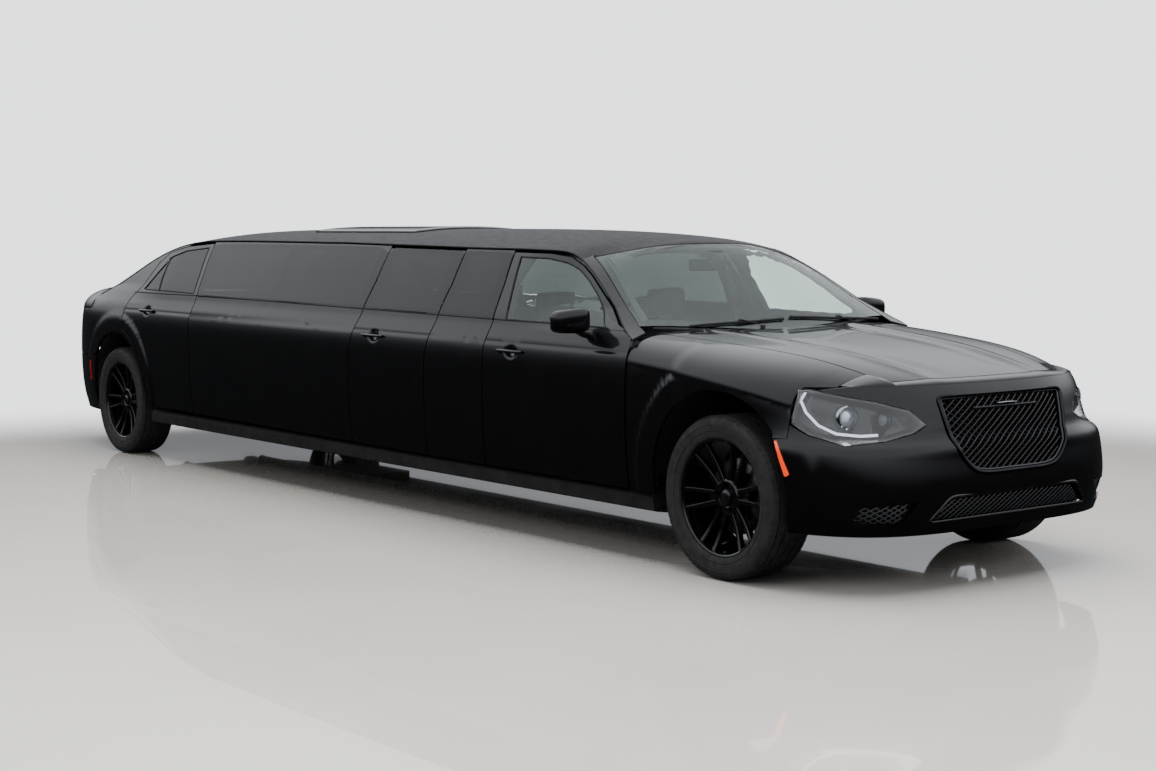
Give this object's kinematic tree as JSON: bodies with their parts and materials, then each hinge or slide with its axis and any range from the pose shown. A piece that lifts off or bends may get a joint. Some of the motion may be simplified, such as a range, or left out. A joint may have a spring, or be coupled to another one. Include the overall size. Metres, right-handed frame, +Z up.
{
  "type": "stretch limousine",
  "caption": "Long black limousine with hinged doors, hood and boot lid, steered front wheels and a lounge behind a partition.",
  "frame": {"origin": "middle of the overall box, on the ground", "axes": "+X points forward along the car, +Y to its left, +Z up"},
  "size_m": [8.0792, 2.1612, 1.524],
  "materials": {
    "body_paint": "gloss black clear coat over painted steel",
    "roof_finish": "satin charcoal roof covering",
    "underbody_steel": "black coated steel",
    "cast_iron": "raw casting",
    "exhaust_steel": "stainless tube",
    "black_plastic": "moulded black",
    "lamp_lens": "clear moulded lens over a dark housing",
    "red_lens": "red moulded lens",
    "clear_glass": "light green tint",
    "dark_glass": "dark privacy tint",
    "seat_leather": "grey grained leather",
    "cabinet_wood": "dark polished veneer",
    "trim_panel": "trimmed board",
    "tyre_rubber": "black rubber",
    "black_alloy": "gloss black cast alloy"
  },
  "bodies": {
    "car_body": {"floor_pan": "underbody_steel", "front_suspension": "underbody_steel", "rear_suspension": "underbody_steel", "engine_block": "cast_iron", "driveline": "cast_iron", "exhaust_system": "exhaust_steel", "fuel_tank": "black_plastic", "front_bumper": "body_paint", "rear_bumper": "body_paint", "front_fenders": "body_paint", "rear_quarters": "body_paint", "roof_shell": "roof_finish", "stretch_panels": "body_paint", "cowl_bulkhead": "underbody_steel", "grilles": "black_plastic", "headlamps": "lamp_lens", "tail_lamps": "red_lens", "windscreen": "clear_glass", "fixed_glass": "dark_glass", "moonroof": "dark_glass", "dashboard": "black_plastic", "front_seats": "seat_leather", "partition": "trim_panel", "lounge_seats": "seat_leather", "bar_cabinet": "cabinet_wood", "plate_bracket": "black_plastic"},
    "hood": {"hood": "body_paint"},
    "boot_lid": {"boot_lid": "body_paint"},
    "steering_wheel": {"steering_wheel": "black_plastic"},
    "front_door_left": {"front_door_left": "body_paint", "front_glass_left": "clear_glass"},
    "front_door_right": {"front_door_right": "body_paint", "front_glass_right": "clear_glass"},
    "mid_door_right": {"mid_door_right": "body_paint", "mid_glass_right": "dark_glass"},
    "rear_door_left": {"rear_door_left": "body_paint", "rear_glass_left": "dark_glass"},
    "rear_door_right": {"rear_door_right": "body_paint", "rear_glass_right": "dark_glass"},
    "knuckle_left": {"knuckle_left": "underbody_steel"},
    "knuckle_right": {"knuckle_right": "underbody_steel"},
    "wheel_front_left": {"tyre_front_left": "tyre_rubber", "rim_front_left": "black_alloy"},
    "wheel_front_right": {"tyre_front_right": "tyre_rubber", "rim_front_right": "black_alloy"},
    "wheel_rear_left": {"tyre_rear_left": "tyre_rubber", "rim_rear_left": "black_alloy"},
    "wheel_rear_right": {"tyre_rear_right": "tyre_rubber", "rim_rear_right": "black_alloy"}
  },
  "joints": [
    {"name": "steer_left", "type": "hinge", "parent": "car_body", "child": "knuckle_left", "pos_m": [3.18, 0.677, 0.357], "axis": [0, 0, 1], "range_deg": [-36, 36]},
    {"name": "spin_front_left", "type": "hinge", "parent": "knuckle_left", "child": "wheel_front_left", "pos_m": [3.18, 0.815, 0.357], "axis": [0, 1, 0], "continuous": true},
    {"name": "spin_rear_left", "type": "hinge", "parent": "car_body", "child": "wheel_rear_left", "pos_m": [-2.92, 0.815, 0.357], "axis": [0, 1, 0], "continuous": true},
    {"name": "front_door_left_swing", "type": "hinge", "parent": "car_body", "child": "front_door_left", "pos_m": [2.566, 0.955, 0.7], "axis": [0, 0, -1], "range_deg": [0, 68]},
    {"name": "rear_door_left_swing", "type": "hinge", "parent": "car_body", "child": "rear_door_left", "pos_m": [-1.826, 0.955, 0.7], "axis": [0, 0, -1], "range_deg": [0, 68]},
    {"name": "steer_right", "type": "hinge", "parent": "car_body", "child": "knuckle_right", "pos_m": [3.18, -0.677, 0.357], "axis": [0, 0, 1], "range_deg": [-36, 36]},
    {"name": "spin_front_right", "type": "hinge", "parent": "knuckle_right", "child": "wheel_front_right", "pos_m": [3.18, -0.815, 0.357], "axis": [0, 1, 0], "continuous": true},
    {"name": "spin_rear_right", "type": "hinge", "parent": "car_body", "child": "wheel_rear_right", "pos_m": [-2.92, -0.815, 0.357], "axis": [0, 1, 0], "continuous": true},
    {"name": "front_door_right_swing", "type": "hinge", "parent": "car_body", "child": "front_door_right", "pos_m": [2.566, -0.955, 0.7], "axis": [0, 0, 1], "range_deg": [0, 68]},
    {"name": "rear_door_right_swing", "type": "hinge", "parent": "car_body", "child": "rear_door_right", "pos_m": [-1.826, -0.955, 0.7], "axis": [0, 0, 1], "range_deg": [0, 68]},
    {"name": "mid_door_right_swing", "type": "hinge", "parent": "car_body", "child": "mid_door_right", "pos_m": [0.899, -0.955, 0.7], "axis": [0, 0, 1], "range_deg": [0, 68]},
    {"name": "hood_lift", "type": "hinge", "parent": "car_body", "child": "hood", "pos_m": [2.51, 0, 1.03], "axis": [0, -1, 0], "range_deg": [0, 52]},
    {"name": "boot_lift", "type": "hinge", "parent": "car_body", "child": "boot_lid", "pos_m": [-3.386, 0, 1.112], "axis": [0, 1, 0], "range_deg": [0, 78]},
    {"name": "steering_wheel_turn", "type": "hinge", "parent": "car_body", "child": "steering_wheel", "pos_m": [2.05, 0.375, 0.86], "axis": [-0.9272, 0, 0.3746], "range_deg": [-490, 490]}
  ],
  "couplings": [
    {"joint": "steer_left", "follows": "steering_wheel_turn", "ratio": 0.073468},
    {"joint": "steer_right", "follows": "steering_wheel_turn", "ratio": 0.073468}
  ]
}
